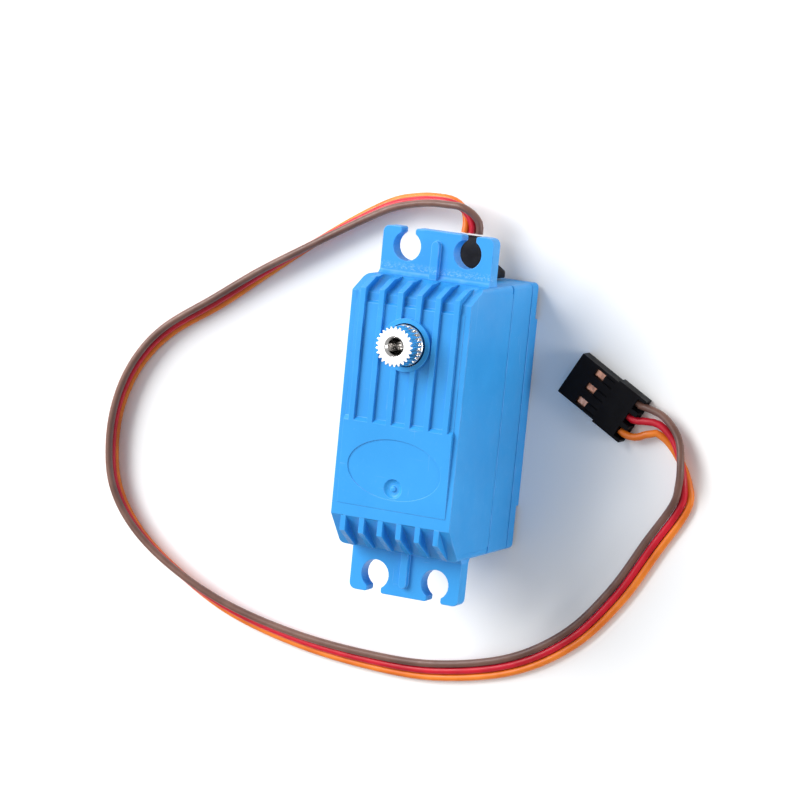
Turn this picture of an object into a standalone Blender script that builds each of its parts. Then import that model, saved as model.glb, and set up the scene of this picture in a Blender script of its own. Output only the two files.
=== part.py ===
"""Low-profile hobby servo motor with a three-wire lead, modelled in Blender.

Frame: the servo stands on its bottom cover at Z = 0 with its output shaft along +Z.
+X runs along the case towards the output shaft and the lead, Y across the case.
Lengths below are in millimetres and are turned into metres when a mesh is made.
"""
from math import acos, cos, pi, radians, sin, sqrt, tan

import bmesh
import bpy
from mathutils import Vector

MM = 0.001

# ---------------------------------------------------------------- driving dimensions
# Case: three shells that share one outline.
CASE_HALF_LENGTH = 20.6
CASE_HALF_WIDTH = 9.85
CASE_CORNER = 0.7
CASE_TOP = 25.2
WALL = 1.2
SHELL_GAP = 0.2
COVER_GAP = 0.3
RIM_HEIGHT = 0.8
COVER_TOP = 2.85
MIDDLE_TOP = 10.2
PLATE_ENDS = (-14.0, 15.0)
INNER_HALF_LENGTH = CASE_HALF_LENGTH - WALL
INNER_HALF_WIDTH = CASE_HALF_WIDTH - WALL

# Face of the upper shell.
SHAFT_X = 11.2
FACE_SHAFT_END = 18.3
SHAFT_END_WALL_TOP = 20.8
FACE_FAR_END = -15.55
FAR_END_WALL_TOP = 20.9
RIB_PITCH = 3.09
RIB_WIDTH = 0.85
RIB_COUNT = 6
RIB_TOP = 25.8
RIB_KINK = 18.85
PANEL_FAR_END = -13.75
PANEL_LOW = 25.3
PANEL_HALF_WIDTH = 8.95
CHANNEL_FLOOR = 25.28
CHANNEL_START = -1.1
CHANNEL_RAMP = 0.6
EDGE_STRIP = 0.85
POCKET_START = 16.7
POCKET_STEP = 0.35
POCKET_SHELF_END = 18.2
POCKET_FLOOR = 24.9
POCKET_END = (20.9, 19.0)
OUTER_DROP = 0.05
FIN_KINK = -17.9
FIN_SHOULDER = (20.15, 23.05)
FIN_FOOT = ((20.35, 22.6), (20.45, 20.6))
FIN_DROP = 0.02
CEILING = 22.4
BOSS_RADIUS = 4.0
BOSS_TOP = 25.95
OVAL_CENTRE_X = -7.65
OVAL_HALF = (4.55, 7.7)
OVAL_DEPTH = 0.15
GATE_MARK_X = -10.5
GATE_MARK_RADIUS = 1.5
GATE_MARK_DEPTH = 0.4
GATE_NUB_RADIUS = 0.45

# Mounting lugs.
LUG_END = 27.85
LUG_HALF_WIDTH = 9.15
LUG_TOP = 17.8
LUG_THICKNESS = 2.45
LUG_CORNER = 1.0
HOLE_X = 25.05
HOLE_Y = 5.0
HOLE_RADIUS = 2.25
SLOT_HALF_WIDTH = 1.17
LIP_ROUND = 0.35
LUG_RIB_WIDTH = 1.3
LUG_RIB_HEIGHT = 0.8
LUG_RIB_END = 26.4

# Case screws, up through all three shells.
SCREW_AT = (18.0, 7.5)
POST_RADIUS = 1.75
SCREW_TIP = 17.0

# Levels of the pieces inside.
UPPER_POST_TOP = 18.2
MIDDLE_FLOOR = 8.8
MIDDLE_POST_TOP = 9.4
PIN_SPAN = (9.4, 23.0)
FIRST_WHEEL, FIRST_PINION = (14.3, 15.3), (15.1, 16.9)
SECOND_WHEEL, SECOND_PINION = (15.7, 16.8), (16.6, 18.5)
THIRD_WHEEL, THIRD_PINION = (17.2, 18.3), (18.1, 21.9)
MOTOR_PINION = (14.2, 15.5)
OUTPUT_WHEEL = (18.9, 21.5)
BEARING_SPAN = (21.95, 24.2)
BUSHING_SPAN = (10.6, 13.7)
BOARD_SPAN = (3.15, 4.15)
BOARD_GAP = 0.05

# Motor and gear train. The idle pin carries the first and third gears, and the second
# gear turns on the neck of the output shaft, so both centre distances are equal.
MOTOR_X = -8.1
PIN_X = 1.2
MOTOR_RADIUS = 7.6
PIN_RADIUS = 0.75
NECK_RADIUS = 1.2
RUNNING_GAP = 0.05
BACKLASH_IN_MODULES = 0.2
ADDENDUM_IN_MODULES = 0.8
PRESSURE_ANGLE = radians(20.0)
PINION_SHIFT = 0.4
MODULE_FIRST, MODULE_MIDDLE, MODULE_LAST = 0.3, 0.4, 0.5
TEETH_MOTOR, TEETH_FIRST = 10, 52
TEETH_MIDDLE_PINION, TEETH_MIDDLE_WHEEL = 13, 37
TEETH_LAST_PINION, TEETH_OUTPUT = 12, 28

# Output shaft.
SPLINE_TEETH = 25
SPLINE_TIP_RADIUS = 3.0
SPLINE_ROOT_RADIUS = 2.62
SPLINE_TOP = 29.7
SHOULDER_RADIUS = 3.1
SHOULDER_TOP = 26.45

# Lead: three insulated wires side by side, and its three-pin plug.
WIRE_RADIUS = 0.55
WIRE_PITCH = 1.32
PLUG_PITCH = 2.54
LEAD_POINTS = 66
LEAD_END_POINTS = 10
LEAD_END_RUN = 5.0
TABLE_GAP = 0.03
BOOT_Z = 5.6
BOOT_TIP_X = 26.8
PLUG_CENTRE = (4.9, -22.53)
PLUG_HEADING = radians(-119.5)
PLUG_LENGTH = 12.4
PLUG_FRONT_WIDTH = 7.2
PLUG_REAR_WIDTH = 7.8
PLUG_STEP = 7.1
PLUG_HEIGHT = 2.5
PLUG_SLOT = 1.3
PLUG_BORE = (0.55, 2.05)
PLUG_WINDOW = (3.2, 4.9)

# Hand-chosen points of the lead's middle wire, from the boot to the plug:
# x, y, z, turn of the ribbon about its run in degrees, distance between wires.
# At a turn of 0 the brown wire lies to the left of the run, at 90 on top.
LEAD_ROUTE = (
    (27.15, 0.0, 5.6, 180, WIRE_PITCH),
    (28.6, 0.1, 5.6, 168, WIRE_PITCH),
    (30.5, 1.7, 5.5, 115, WIRE_PITCH),
    (31.3, 4.3, 4.9, 76, WIRE_PITCH),
    (31.3, 7.4, 4.1, 68, WIRE_PITCH),
    (30.8, 11.0, 3.1, 62, WIRE_PITCH),
    (29.4, 15.8, 2.1, 60, WIRE_PITCH),
    (25.8, 22.3, 1.75, 66, WIRE_PITCH),
    (20.8, 30.0, 1.85, 84, WIRE_PITCH),
    (16.0, 37.0, 1.85, 106, WIRE_PITCH),
    (10.6, 44.4, 1.8, 118, WIRE_PITCH),
    (5.0, 52.6, 1.8, 113, WIRE_PITCH),
    (-0.5, 57.4, 1.85, 102, WIRE_PITCH),
    (-7.0, 60.2, 1.9, 92, WIRE_PITCH),
    (-14.3, 61.0, 1.9, 86, WIRE_PITCH),
    (-21.5, 59.6, 1.9, 83, WIRE_PITCH),
    (-27.8, 55.0, 1.9, 78, WIRE_PITCH),
    (-33.2, 47.4, 1.8, 70, WIRE_PITCH),
    (-37.8, 37.4, 1.6, 50, WIRE_PITCH),
    (-40.7, 25.0, 1.4, 38, WIRE_PITCH),
    (-41.9, 12.4, 1.2, 28, WIRE_PITCH),
    (-41.6, 0.8, 1.1, 22, WIRE_PITCH),
    (-38.6, -11.5, 1.0, 18, WIRE_PITCH),
    (-33.0, -20.8, 1.0, 15, WIRE_PITCH),
    (-25.2, -27.6, 0.95, 12, WIRE_PITCH),
    (-16.6, -32.7, 0.95, 14, WIRE_PITCH),
    (-10.0, -36.6, 1.2, 32, WIRE_PITCH),
    (-6.4, -37.0, 1.8, 72, WIRE_PITCH),
    (-3.0, -36.1, 1.8, 112, WIRE_PITCH),
    (0.0, -34.5, 1.5, 152, WIRE_PITCH),
    (1.9, -32.1, 1.35, 172, 1.45),
    (2.15, -29.9, 1.3, 180, 2.0),
    (2.0, -27.9, 1.3, 180, PLUG_PITCH),
    (2.51, -26.75, 1.3, 180, PLUG_PITCH),
)

WIRES = (("brown", 1, (0.22, 0.11, 0.08)), ("red", 0, (0.62, 0.02, 0.04)),
         ("orange", -1, (0.80, 0.20, 0.03)))


# ---------------------------------------------------------------- helpers
def material(name, colour, roughness, metallic=0.0):
    """A plain Principled material."""
    new = bpy.data.materials.new(name)
    new.use_nodes = True
    shader = new.node_tree.nodes["Principled BSDF"]
    shader.inputs["Base Color"].default_value = (*colour, 1.0)
    shader.inputs["Roughness"].default_value = roughness
    shader.inputs["Metallic"].default_value = metallic
    return new


def finish_mesh(name, bm, look, origin=(0.0, 0.0, 0.0)):
    """Turn a bmesh in millimetres into an object whose origin is at `origin`."""
    bmesh.ops.remove_doubles(bm, verts=bm.verts, dist=1e-5)
    bmesh.ops.translate(bm, verts=bm.verts, vec=[-value for value in origin])
    bmesh.ops.scale(bm, verts=bm.verts, vec=(MM, MM, MM))
    bmesh.ops.recalc_face_normals(bm, faces=bm.faces)
    mesh = bpy.data.meshes.new(name)
    bm.to_mesh(mesh)
    bm.free()
    mesh.shade_smooth()
    mesh.set_sharp_from_angle(angle=radians(35.0))
    obj = bpy.data.objects.new(name, mesh)
    obj.location = [value * MM for value in origin]
    bpy.context.scene.collection.objects.link(obj)
    if look is not None:
        mesh.materials.append(look)
    return obj


def add_prism(bm, outline, low, high, axis="Z"):
    """Add an extruded outline. Axis Z takes (x, y) points, Y takes (x, z), X takes (y, z)."""
    places = {"Z": lambda u, v, w: (u, v, w), "Y": lambda u, v, w: (u, w, v),
              "X": lambda u, v, w: (w, u, v)}
    place = places[axis]
    rings = [[bm.verts.new(place(u, v, level)) for u, v in outline] for level in (low, high)]
    count = len(outline)
    for index in range(count):
        after = (index + 1) % count
        bm.faces.new((rings[0][index], rings[0][after], rings[1][after], rings[1][index]))
    bm.faces.new(rings[0])
    bm.faces.new(rings[1])


def add_turned(bm, profile, centre, segments, start=0.0, end=2.0 * pi):
    """Add a closed (radius, z) profile turned about a vertical axis at `centre`."""
    whole = end - start > 2.0 * pi - 1e-6
    steps = segments if whole else segments + 1
    rings = []
    for step in range(steps):
        angle = start + (end - start) * step / segments
        rings.append([bm.verts.new((centre[0] + r * cos(angle), centre[1] + r * sin(angle), z))
                      for r, z in profile])
    count = len(profile)
    for step in range(segments):
        ring, after = rings[step], rings[(step + 1) % steps]
        for index in range(count):
            up = (index + 1) % count
            if profile[index][0] == 0.0 and profile[up][0] == 0.0:
                continue
            bm.faces.new((ring[index], after[index], after[up], ring[up]))
    if not whole:
        bm.faces.new(rings[0])
        bm.faces.new(rings[-1])
    bmesh.ops.remove_doubles(bm, verts=bm.verts, dist=1e-5)
    bmesh.ops.dissolve_degenerate(bm, edges=bm.edges, dist=1e-5)


def prism(name, outline, low, high, look=None, axis="Z", origin=(0.0, 0.0, 0.0)):
    """One extruded outline as an object."""
    bm = bmesh.new()
    add_prism(bm, outline, low, high, axis)
    return finish_mesh(name, bm, look, origin)


def turned(name, profile, centre, look=None, segments=32):
    """One turned profile as an object, with its origin on its axis."""
    bm = bmesh.new()
    add_turned(bm, profile, centre, segments)
    return finish_mesh(name, bm, look, (centre[0], centre[1], 0.0))


def cylinder(name, radius, low, high, centre, look=None, segments=32):
    """A plain vertical cylinder."""
    return turned(name, [(0.0, low), (radius, low), (radius, high), (0.0, high)], centre, look,
                  segments)


def combine(target, tool, operation):
    """Cut or join `tool` to `target` with an exact Boolean, and hide the tool."""
    tool.hide_render = True
    tool.display_type = "WIRE"
    modifier = target.modifiers.new(tool.name, "BOOLEAN")
    modifier.operation = operation
    modifier.solver = "EXACT"
    modifier.object = tool


def cut(target, tool):
    combine(target, tool, "DIFFERENCE")


def join(target, tool):
    combine(target, tool, "UNION")


def arc(centre, radius, start, end, steps):
    """Points along an arc, angles in degrees."""
    points = []
    for step in range(steps + 1):
        angle = radians(start + (end - start) * step / steps)
        points.append((centre[0] + radius * cos(angle), centre[1] + radius * sin(angle)))
    return points


def rounded_box(half_x, half_y, radius, steps=4):
    """Outline of a rectangle with round corners about the origin."""
    points = []
    for turn, (sx, sy) in enumerate(((1, 1), (-1, 1), (-1, -1), (1, -1))):
        centre = (sx * (half_x - radius), sy * (half_y - radius))
        points += arc(centre, radius, 90.0 * turn, 90.0 * turn + 90.0, steps)
    return points


def box_outline(low_u, high_u, low_v, high_v):
    return [(low_u, low_v), (high_u, low_v), (high_u, high_v), (low_u, high_v)]


def cross_outline(reach, half):
    """Outline of a plus sign about the origin."""
    arm = [(reach, -half), (reach, half), (half, half)]
    points = []
    for _ in range(4):
        points += arm
        arm = [(-v, u) for u, v in arm]
    return points


def screw_places():
    """The four case screws' names and axes."""
    ends = (("shaft_end", 1), ("far_end", -1))
    sides = (("left", 1), ("right", -1))
    return [(f"{end}_{side}", (sx * SCREW_AT[0], sy * SCREW_AT[1]))
            for end, sx in ends for side, sy in sides]


# ---------------------------------------------------------------- upper shell
def lug_outline(side):
    """Outline of one lug seen from above, with its two open keyholes."""
    mouth = HOLE_X + sqrt(HOLE_RADIUS ** 2 - SLOT_HALF_WIDTH ** 2)
    mouth_angle = 180.0 / pi * acos((mouth - HOLE_X) / HOLE_RADIUS)
    points = [(CASE_HALF_LENGTH - 0.9, -LUG_HALF_WIDTH)]
    points += arc((LUG_END - LUG_CORNER, -LUG_HALF_WIDTH + LUG_CORNER), LUG_CORNER, -90, 0, 4)
    for centre_y in (-HOLE_Y, HOLE_Y):
        low_lip = (LUG_END - LIP_ROUND, centre_y - SLOT_HALF_WIDTH - LIP_ROUND)
        high_lip = (LUG_END - LIP_ROUND, centre_y + SLOT_HALF_WIDTH + LIP_ROUND)
        points += arc(low_lip, LIP_ROUND, 0, 90, 3)
        points += arc((HOLE_X, centre_y), HOLE_RADIUS, -mouth_angle, mouth_angle - 360.0, 20)
        points += arc(high_lip, LIP_ROUND, -90, 0, 3)
    points += arc((LUG_END - LUG_CORNER, LUG_HALF_WIDTH - LUG_CORNER), LUG_CORNER, 0, 90, 4)
    points.append((CASE_HALF_LENGTH - 0.9, LUG_HALF_WIDTH))
    return [(side * x, y) for x, y in points]


def lug_rib_outline(side):
    """A narrow raised rib along the middle of a lug, with a round end."""
    half = 0.5 * LUG_RIB_WIDTH
    points = [(CASE_HALF_LENGTH - 0.6, -half)]
    points += arc((LUG_RIB_END - half, 0.0), half, -90, 90, 6)
    points.append((CASE_HALF_LENGTH - 0.6, half))
    return [(side * x, y) for x, y in points]


def rib_gaps():
    """The spans in Y between neighbouring ribs, with the narrow ones beside the edge strips."""
    first = -0.5 * (RIB_COUNT - 1) * RIB_PITCH
    edges = [-(CASE_HALF_WIDTH - EDGE_STRIP)]
    for index in range(RIB_COUNT):
        middle = first + index * RIB_PITCH
        edges += [middle - 0.5 * RIB_WIDTH, middle + 0.5 * RIB_WIDTH]
    edges.append(CASE_HALF_WIDTH - EDGE_STRIP)
    return list(zip(edges[0::2], edges[1::2]))


def panel_top(x):
    """Height of the panel's top, which rises towards the ribs."""
    share = (x - PANEL_FAR_END) / (CHANNEL_START - PANEL_FAR_END)
    return PANEL_LOW + share * (RIB_TOP - PANEL_LOW)


def build_upper_case(look):
    """The deep upper shell: ribbed face, finned ends, lugs, gear chamber."""
    length = CASE_HALF_LENGTH
    profile = [(-length, MIDDLE_TOP), (length, MIDDLE_TOP), (length, SHAFT_END_WALL_TOP),
               (FACE_SHAFT_END, CASE_TOP), (FACE_FAR_END, CASE_TOP), (-length, FAR_END_WALL_TOP)]
    case = prism("upper_case", profile, -CASE_HALF_WIDTH, CASE_HALF_WIDTH, look, axis="Y")

    bm = bmesh.new()
    add_prism(bm, rounded_box(length, CASE_HALF_WIDTH, CASE_CORNER), 0.0, 40.0)
    combine(case, finish_mesh("case_corners", bm, None), "INTERSECT")

    # Raised panel and ribs, which slope less than the shaft end itself.
    plateau = [(PANEL_FAR_END, CASE_TOP - 0.5), (PANEL_FAR_END, PANEL_LOW),
               (CHANNEL_START, RIB_TOP), (RIB_KINK, RIB_TOP), FIN_SHOULDER, *FIN_FOOT,
               (FACE_SHAFT_END - 0.8, CASE_TOP - 0.5)]
    join(case, prism("panel_and_ribs", plateau, -PANEL_HALF_WIDTH, PANEL_HALF_WIDTH, axis="Y"))

    # Fins on the far end, each level with the face and then sloping to the end wall.
    level = CASE_TOP - FIN_DROP
    fin = [(FACE_FAR_END + 1.5, CASE_TOP - 0.4), (FACE_FAR_END + 0.8, level), (FIN_KINK, level),
           (-length, FAR_END_WALL_TOP + 0.1), (-length, FAR_END_WALL_TOP - 1.5)]
    bm = bmesh.new()
    first = -0.5 * (RIB_COUNT - 1) * RIB_PITCH
    for index in range(RIB_COUNT):
        middle = first + index * RIB_PITCH
        add_prism(bm, fin, middle - 0.5 * RIB_WIDTH, middle + 0.5 * RIB_WIDTH, axis="Y")
    join(case, finish_mesh("far_fins", bm, None))

    # Wedges that deepen the gaps between those fins.
    bm = bmesh.new()
    wedge = [(FACE_FAR_END, CASE_TOP), (-length - 1.0, CASE_TOP), (-length - 1.0, 19.1),
             (-length, 20.0)]
    for low, high in rib_gaps()[1:-1]:
        add_prism(bm, wedge, low, high, axis="Y")
    cut(case, finish_mesh("far_gaps", bm, None))

    # Channels along the face, with a ramp at the panel and a deeper pocket at the shaft end.
    channel = [(CHANNEL_START, RIB_TOP + 1.0), (CHANNEL_START, RIB_TOP),
               (CHANNEL_START + CHANNEL_RAMP, CHANNEL_FLOOR), (POCKET_START, CHANNEL_FLOOR),
               (POCKET_START + POCKET_STEP, POCKET_FLOOR), (POCKET_SHELF_END, POCKET_FLOOR),
               POCKET_END, (POCKET_END[0], RIB_TOP + 1.0)]
    # The outermost two have no pocket: there the shaft end's own slope carries on.
    ledge = CASE_TOP - OUTER_DROP
    outer = channel[:4] + [(POCKET_START + POCKET_STEP, ledge), (FACE_SHAFT_END, ledge),
                           (length, SHAFT_END_WALL_TOP - OUTER_DROP),
                           (length + 0.5, SHAFT_END_WALL_TOP - OUTER_DROP - 1.0),
                           (length + 0.5, RIB_TOP + 1.0)]
    gaps = rib_gaps()
    bm = bmesh.new()
    for index, (low, high) in enumerate(gaps):
        profile = outer if index in (0, len(gaps) - 1) else channel
        add_prism(bm, profile, low, high, axis="Y")
    cut(case, finish_mesh("face_channels", bm, None))

    cut(case, cylinder("pin_seat", PIN_RADIUS + 0.05, 20.0, PIN_SPAN[1] + 0.2, (PIN_X, 0.0), None, 20))

    # Boss round the output shaft.
    join(case, cylinder("shaft_boss", BOSS_RADIUS, 23.6, BOSS_TOP, (SHAFT_X, 0.0), None, 40))

    # Lugs with their ribs.
    bm = bmesh.new()
    for side in (-1, 1):
        add_prism(bm, lug_outline(side), LUG_TOP - LUG_THICKNESS, LUG_TOP)
    join(case, finish_mesh("lugs", bm, None))
    bm = bmesh.new()
    for side in (-1, 1):
        add_prism(bm, lug_rib_outline(side), LUG_TOP - 1.0, LUG_TOP + LUG_RIB_HEIGHT)
    join(case, finish_mesh("lug_ribs", bm, None))

    # Label recess and gate mark.
    oval = [(OVAL_CENTRE_X + x * OVAL_HALF[0], y * OVAL_HALF[1])
            for x, y in arc((0.0, 0.0), 1.0, 0.0, 352.5, 47)]
    bm = bmesh.new()
    add_prism(bm, oval, 0.0, RIB_TOP + 1.0)
    for vert in bm.verts:
        if vert.co.z < 1.0:
            vert.co.z = panel_top(vert.co.x) - OVAL_DEPTH
    cut(case, finish_mesh("label_recess", bm, None))
    deck, wide, nub = panel_top(GATE_MARK_X) - OVAL_DEPTH, GATE_MARK_RADIUS, GATE_NUB_RADIUS
    low = deck - GATE_MARK_DEPTH
    dimple = [(nub + 0.1, low), (wide - 0.6, low), (wide - 0.2, low + 0.15), (wide, deck),
              (wide, RIB_TOP + 1.0), (0.0, RIB_TOP + 1.0), (0.0, low + 0.3), (nub - 0.1, low + 0.25)]
    cut(case, turned("gate_mark", dimple, (GATE_MARK_X, 0.0), None, 24))

    # Gear chamber, screw posts and bearing seat.
    chamber = [(-INNER_HALF_LENGTH, MIDDLE_TOP - 1.0), (INNER_HALF_LENGTH, MIDDLE_TOP - 1.0),
               (INNER_HALF_LENGTH, 18.6), (INNER_HALF_LENGTH - 0.6, 19.1),
               (INNER_HALF_LENGTH - 0.6, 21.25), (18.0, CEILING), (-14.6, CEILING),
               (-INNER_HALF_LENGTH, 18.4)]
    cut(case, prism("gear_chamber", chamber, -INNER_HALF_WIDTH, INNER_HALF_WIDTH, axis="Y"))
    bm = bmesh.new()
    for _, centre in screw_places():
        add_turned(bm, [(0.0, MIDDLE_TOP), (POST_RADIUS, MIDDLE_TOP), (POST_RADIUS, UPPER_POST_TOP),
                        (0.0, UPPER_POST_TOP)], centre, 14)
    join(case, finish_mesh("upper_posts", bm, None))
    bm = bmesh.new()
    for _, centre in screw_places():
        add_turned(bm, [(0.0, 0.0), (1.2, 0.0), (1.2, SCREW_TIP + 0.4), (0.0, SCREW_TIP + 0.7)],
                   centre, 12)
    cut(case, finish_mesh("upper_screw_holes", bm, None))
    seat = [(0.0, 20.0), (4.1, 20.0), (4.1, 24.3), (3.27, 24.3), (3.27, 27.0), (0.0, 27.0)]
    cut(case, turned("bearing_seat", seat, (SHAFT_X, 0.0), None, 36))
    return case


# ---------------------------------------------------------------- middle shell and cover
def boot_passage():
    """Opening in the shaft-end wall for the lead's boot."""
    return box_outline(-3.3, 3.3, -1.0, BOOT_Z + 2.2)


def build_middle_case(look):
    """Ring with a floor that carries the gear train, open below for motor and board."""
    low, high = COVER_TOP + COVER_GAP, MIDDLE_TOP - SHELL_GAP
    case = prism("middle_case", rounded_box(CASE_HALF_LENGTH, CASE_HALF_WIDTH, CASE_CORNER),
                 low, high, look)
    inner = box_outline(-INNER_HALF_LENGTH, INNER_HALF_LENGTH, -INNER_HALF_WIDTH, INNER_HALF_WIDTH)
    cut(case, prism("middle_chamber", inner, low - 1.0, MIDDLE_FLOOR))
    bm = bmesh.new()
    for _, centre in screw_places():
        add_turned(bm, [(0.0, low), (POST_RADIUS, low), (POST_RADIUS, MIDDLE_POST_TOP),
                        (0.0, MIDDLE_POST_TOP)], centre, 14)
    join(case, finish_mesh("middle_posts", bm, None))
    cut(case, cylinder("middle_pin_seat", PIN_RADIUS + 0.05, PIN_SPAN[0] - 0.2, 30.0, (PIN_X, 0.0),
                       None, 20))
    join(case, cylinder("bushing_boss", 3.3, 9.2, 13.8, (SHAFT_X, 0.0), None, 32))
    bm = bmesh.new()
    for _, centre in screw_places():
        add_turned(bm, [(0.0, 0.0), (1.25, 0.0), (1.25, 30.0), (0.0, 30.0)], centre, 12)
    cut(case, finish_mesh("middle_screw_holes", bm, None))
    cut(case, cylinder("motor_hole", MOTOR_RADIUS + 0.25, 0.0, 30.0, (MOTOR_X, 0.0), None, 32))
    cut(case, prism("boot_passage", boot_passage(), 15.0, 25.0, axis="X"))
    bore = [(0.0, 7.0), (2.35, 7.0), (2.35, 10.4), (2.25, 10.4), (2.25, 14.5), (0.0, 14.5)]
    cut(case, turned("bushing_seat", bore, (SHAFT_X, 0.0), None, 32))
    return case


def build_bottom_cover(look):
    """Shallow cover with a plate under it that the servo stands on."""
    cover = prism("bottom_cover", rounded_box(CASE_HALF_LENGTH, CASE_HALF_WIDTH, CASE_CORNER),
                  RIM_HEIGHT, COVER_TOP, look)
    plate = box_outline(PLATE_ENDS[0], PLATE_ENDS[1], -CASE_HALF_WIDTH, CASE_HALF_WIDTH)
    join(cover, prism("standing_plate", plate, 0.0, RIM_HEIGHT + 0.4))
    inner = box_outline(-INNER_HALF_LENGTH, INNER_HALF_LENGTH, -INNER_HALF_WIDTH, INNER_HALF_WIDTH)
    cut(cover, prism("cover_chamber", inner, 1.2 + RIM_HEIGHT, COVER_TOP + 1.0))
    well = cylinder("motor_well", MOTOR_RADIUS + 0.3, 1.1, COVER_TOP + 1.0, (MOTOR_X, 0.0), None, 32)
    cut(cover, well)
    bm = bmesh.new()
    for _, centre in screw_places():
        add_turned(bm, [(0.0, 1.4), (2.3, 1.4), (2.3, COVER_TOP), (0.0, COVER_TOP)], centre, 14)
    join(cover, finish_mesh("cover_posts", bm, None))
    bm = bmesh.new()
    for _, centre in screw_places():
        add_turned(bm, [(0.0, -1.0), (2.0, -1.0), (2.0, 2.1), (1.25, 2.1), (1.25, 9.0),
                        (0.0, 9.0)], centre, 16)
    cut(cover, finish_mesh("cover_screw_holes", bm, None))
    return cover


def build_screws(look):
    """Four long case screws with crossed recesses, heads sunk in the cover."""
    for name, (x, y) in screw_places():
        profile = [(0.0, 0.95), (1.55, 0.95), (1.75, 1.15), (1.75, 1.95), (1.0, 1.95),
                   (1.0, SCREW_TIP - 0.6), (0.4, SCREW_TIP), (0.0, SCREW_TIP)]
        screw = turned(f"case_screw_{name}", profile, (x, y), look, 16)
        cross = [(x + u, y + v) for u, v in cross_outline(1.0, 0.2)]
        cut(screw, prism(f"recess_{name}", cross, 0.0, 1.55))


# ---------------------------------------------------------------- gears
def involute(angle):
    return tan(angle) - angle


def gear_outline(centre, teeth, module, shift, phase, flank_points):
    """Outline of a spur gear with one tooth centred on `phase` degrees."""
    pitch = 0.5 * teeth * module
    base = pitch * cos(PRESSURE_ANGLE)
    tip = pitch + module * (ADDENDUM_IN_MODULES + shift)
    root = pitch - module * (1.25 - shift)
    half_at_pitch = (0.5 * pi + 2.0 * shift * tan(PRESSURE_ANGLE)) / teeth
    half_at_pitch -= 0.5 * BACKLASH_IN_MODULES * module / pitch

    def half_angle(radius):
        turn = acos(min(1.0, base / radius))
        return half_at_pitch + involute(PRESSURE_ANGLE) - involute(turn)

    start = max(base, root)
    radii = [start + (tip - start) * step / (flank_points - 1) for step in range(flank_points)]
    flank = [(root, half_angle(start))] + [(radius, half_angle(radius)) for radius in radii[1:]]
    points = []
    for tooth in range(teeth):
        middle = radians(phase) + 2.0 * pi * tooth / teeth
        tooth_sides = [(r, middle - half) for r, half in flank]
        tooth_sides += [(r, middle + half) for r, half in reversed(flank)]
        points += [(centre[0] + r * cos(a), centre[1] + r * sin(a)) for r, a in tooth_sides]
    return points


def wheel(name, centre, teeth, module, phase, low, high, look):
    """A large gear, its teeth shifted inwards to suit its pinion."""
    outline = gear_outline(centre, teeth, module, -PINION_SHIFT, phase, 2)
    return prism(name, outline, low, high, look, origin=(centre[0], centre[1], 0.0))


def pinion(name, centre, teeth, module, phase, low, high, look=None):
    outline = gear_outline(centre, teeth, module, PINION_SHIFT, phase, 3)
    return prism(name, outline, low, high, look, origin=(centre[0], centre[1], 0.0))


def build_gear_train(steel, brass):
    """Motor pinion, three compound gears and the pin that carries two of them."""
    idle, output = (PIN_X, 0.0), (SHAFT_X, 0.0)
    first = wheel("first_gear", idle, TEETH_FIRST, MODULE_FIRST, 180.0 + 180.0 / TEETH_FIRST,
                  *FIRST_WHEEL, brass)
    join(first, pinion("first_gear_pinion", idle, TEETH_MIDDLE_PINION, MODULE_MIDDLE, 0.0,
                       *FIRST_PINION))
    cut(first, cylinder("first_gear_bore", PIN_RADIUS + RUNNING_GAP, 14.0, 17.5, idle, None, 20))

    second = wheel("second_gear", output, TEETH_MIDDLE_WHEEL, MODULE_MIDDLE,
                   180.0 + 180.0 / TEETH_MIDDLE_WHEEL, *SECOND_WHEEL, brass)
    join(second, pinion("second_gear_pinion", output, TEETH_MIDDLE_PINION, MODULE_MIDDLE, 180.0,
                        *SECOND_PINION))
    cut(second, cylinder("second_gear_bore", NECK_RADIUS + RUNNING_GAP, 15.0, 19.0, output, None,
                         24))

    third = wheel("third_gear", idle, TEETH_MIDDLE_WHEEL, MODULE_MIDDLE,
                  180.0 / TEETH_MIDDLE_WHEEL, *THIRD_WHEEL, brass)
    join(third, pinion("third_gear_pinion", idle, TEETH_LAST_PINION, MODULE_LAST, 0.0,
                       *THIRD_PINION))
    cut(third, cylinder("third_gear_bore", PIN_RADIUS + RUNNING_GAP, 17.0, 22.5, idle, None, 20))

    cylinder("gear_pin", PIN_RADIUS, *PIN_SPAN, idle, steel, 20)


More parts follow.
